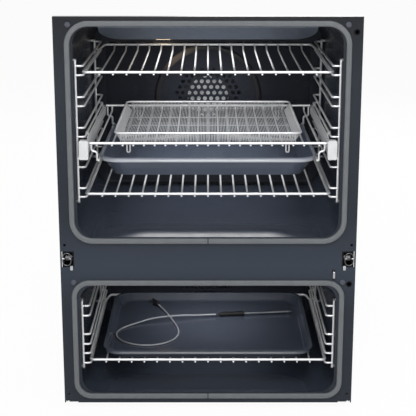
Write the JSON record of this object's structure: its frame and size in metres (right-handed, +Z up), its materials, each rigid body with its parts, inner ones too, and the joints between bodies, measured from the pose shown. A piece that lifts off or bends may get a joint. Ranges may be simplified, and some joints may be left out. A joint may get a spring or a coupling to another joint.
{
  "type": "built-in double oven",
  "caption": "Built-in double oven body without doors: enamelled frame, lined cavities, chromed racks and shelves, runners with wire basket and pan, tray with food probe.",
  "frame": {"origin": "middle of the underside of the base pan", "axes": "+Z up, the oven's front faces -Y, +X to the right seen from the front"},
  "size_m": [0.56, 0.564, 0.761],
  "materials": {
    "frame_enamel": "dark blue-grey vitreous enamel, satin gloss",
    "cavity_enamel": "dark pyrolytic enamel with fine fleck",
    "ware_enamel": "blue-grey enamel on bakeware",
    "galvanised_sheet": "zinc-coated sheet with faint spangle",
    "steel": "plain bright steel",
    "dark_steel": "heat-darkened steel sheath",
    "satin_silver": "satin silver casting",
    "chrome_wire": "bright chromed wire",
    "deflector_sheet": "bright sheet seen in bluish light",
    "seal_rubber": "grey silicone",
    "dark_rubber": "dark silicone",
    "black_plastic": "black moulded plastic",
    "grey_plastic": "grey moulded plastic",
    "ceramic": "unglazed ceramic",
    "lamp_glass": "clear pressed glass, lamp lit behind it",
    "mineral_wool": "pressed mineral wool",
    "braid": "steel-grey braided lead"
  },
  "bodies": {
    "root": {"front_frame": "frame_enamel", "upper_cavity": "cavity_enamel", "lower_cavity": "cavity_enamel", "upper_fan_cover": "cavity_enamel", "lower_fan_cover": "cavity_enamel", "base_pan": "galvanised_sheet", "left_side_panel": "galvanised_sheet", "right_side_panel": "galvanised_sheet", "top_cover": "galvanised_sheet", "back_cover": "galvanised_sheet", "blower_housing": "galvanised_sheet", "case_screws": "steel", "hinge_receivers": "steel", "upper_fan_motor": "steel", "lower_fan_motor": "steel", "temperature_sensors": "steel", "left_runner_rail": "steel", "right_runner_rail": "steel", "upper_ring_element": "dark_steel", "lower_ring_element": "dark_steel", "upper_grill_element": "dark_steel", "lower_grill_element": "dark_steel", "upper_left_rack": "chrome_wire", "upper_right_rack": "chrome_wire", "lower_left_rack": "chrome_wire", "lower_right_rack": "chrome_wire", "grill_deflector": "deflector_sheet", "upper_door_seal": "seal_rubber", "lower_door_seal": "seal_rubber", "door_bumpers": "dark_rubber", "door_switch": "black_plastic", "probe_sockets": "black_plastic", "terminal_box": "black_plastic", "lamp_holders": "ceramic", "lamp_lenses": "lamp_glass", "insulation_blankets": "mineral_wool"},
    "upper_fan": {"upper_fan": "steel"},
    "lower_fan": {"lower_fan": "steel"},
    "blower_rotor": {"blower_rotor": "grey_plastic"},
    "upper_left_roller": {"upper_left_hinge_roller": "steel"},
    "upper_right_roller": {"upper_right_hinge_roller": "steel"},
    "lower_left_roller": {"lower_left_hinge_roller": "steel"},
    "lower_right_roller": {"lower_right_hinge_roller": "steel"},
    "switch_lever": {"door_switch_lever": "grey_plastic"},
    "top_shelf": {"top_shelf": "chrome_wire"},
    "bottom_shelf": {"bottom_shelf": "chrome_wire"},
    "lower_shelf": {"lower_shelf": "chrome_wire"},
    "carriage": {"left_runner_slide": "satin_silver", "right_runner_slide": "satin_silver", "basket_carrier": "chrome_wire"},
    "left_runner_middle": {"left_runner_middle": "steel"},
    "right_runner_middle": {"right_runner_middle": "steel"},
    "wire_basket": {"wire_basket": "chrome_wire"},
    "deep_pan": {"deep_pan": "ware_enamel"},
    "baking_tray": {"baking_tray": "ware_enamel"},
    "probe": {"probe_plug": "black_plastic", "probe_lead": "braid", "probe_handle": "black_plastic", "probe_needle": "steel"}
  },
  "joints": [
    {"name": "upper_fan_spin", "type": "hinge", "parent": "root", "child": "upper_fan", "pos_m": [0, 0.172, 0.542], "axis": [0, 1, 0], "continuous": true},
    {"name": "lower_fan_spin", "type": "hinge", "parent": "root", "child": "lower_fan", "pos_m": [0, 0.172, 0.143], "axis": [0, 1, 0], "continuous": true},
    {"name": "blower_spin", "type": "hinge", "parent": "root", "child": "blower_rotor", "pos_m": [0, 0.2555, 0.302], "axis": [0, 1, 0], "continuous": true},
    {"name": "upper_left_roller_spin", "type": "hinge", "parent": "root", "child": "upper_left_roller", "pos_m": [-0.2642, -0.2635, 0.3055], "axis": [1, 0, 0], "continuous": true},
    {"name": "upper_right_roller_spin", "type": "hinge", "parent": "root", "child": "upper_right_roller", "pos_m": [0.2642, -0.2635, 0.3055], "axis": [1, 0, 0], "continuous": true},
    {"name": "lower_left_roller_spin", "type": "hinge", "parent": "root", "child": "lower_left_roller", "pos_m": [-0.2642, -0.2337, 0.0158], "axis": [1, 0, 0], "continuous": true},
    {"name": "lower_right_roller_spin", "type": "hinge", "parent": "root", "child": "lower_right_roller", "pos_m": [0.2642, -0.2337, 0.0158], "axis": [1, 0, 0], "continuous": true},
    {"name": "switch_press", "type": "slide", "parent": "root", "child": "switch_lever", "axis": [0, 1, 0], "range_m": [0, 0.005], "stiffness_N_per_m": 300},
    {"name": "top_shelf_slide", "type": "slide", "parent": "root", "child": "top_shelf", "axis": [0, -1, 0], "range_m": [0, 0.3]},
    {"name": "bottom_shelf_slide", "type": "slide", "parent": "root", "child": "bottom_shelf", "axis": [0, -1, 0], "range_m": [0, 0.3]},
    {"name": "lower_shelf_slide", "type": "slide", "parent": "root", "child": "lower_shelf", "axis": [0, -1, 0], "range_m": [0, 0.3]},
    {"name": "carriage_slide", "type": "slide", "parent": "root", "child": "carriage", "axis": [0, -1, 0], "range_m": [0, 0.32]},
    {"name": "left_middle_slide", "type": "slide", "parent": "root", "child": "left_runner_middle", "axis": [0, -1, 0], "range_m": [0, 0.16]},
    {"name": "right_middle_slide", "type": "slide", "parent": "root", "child": "right_runner_middle", "axis": [0, -1, 0], "range_m": [0, 0.16]},
    {"name": "basket_lift", "type": "slide", "parent": "carriage", "child": "wire_basket", "axis": [0, 0, 1], "range_m": [0, 0.05]},
    {"name": "pan_slide", "type": "slide", "parent": "carriage", "child": "deep_pan", "axis": [0, -1, 0], "range_m": [0, 0.25]},
    {"name": "tray_lift", "type": "slide", "parent": "lower_shelf", "child": "baking_tray", "axis": [0, 0, 1], "range_m": [0, 0.05]},
    {"name": "probe_lift", "type": "slide", "parent": "baking_tray", "child": "probe", "axis": [0, 0, 1], "range_m": [0, 0.05]}
  ],
  "couplings": [
    {"joint": "left_middle_slide", "follows": "carriage_slide", "ratio": 0.5},
    {"joint": "right_middle_slide", "follows": "carriage_slide", "ratio": 0.5}
  ]
}
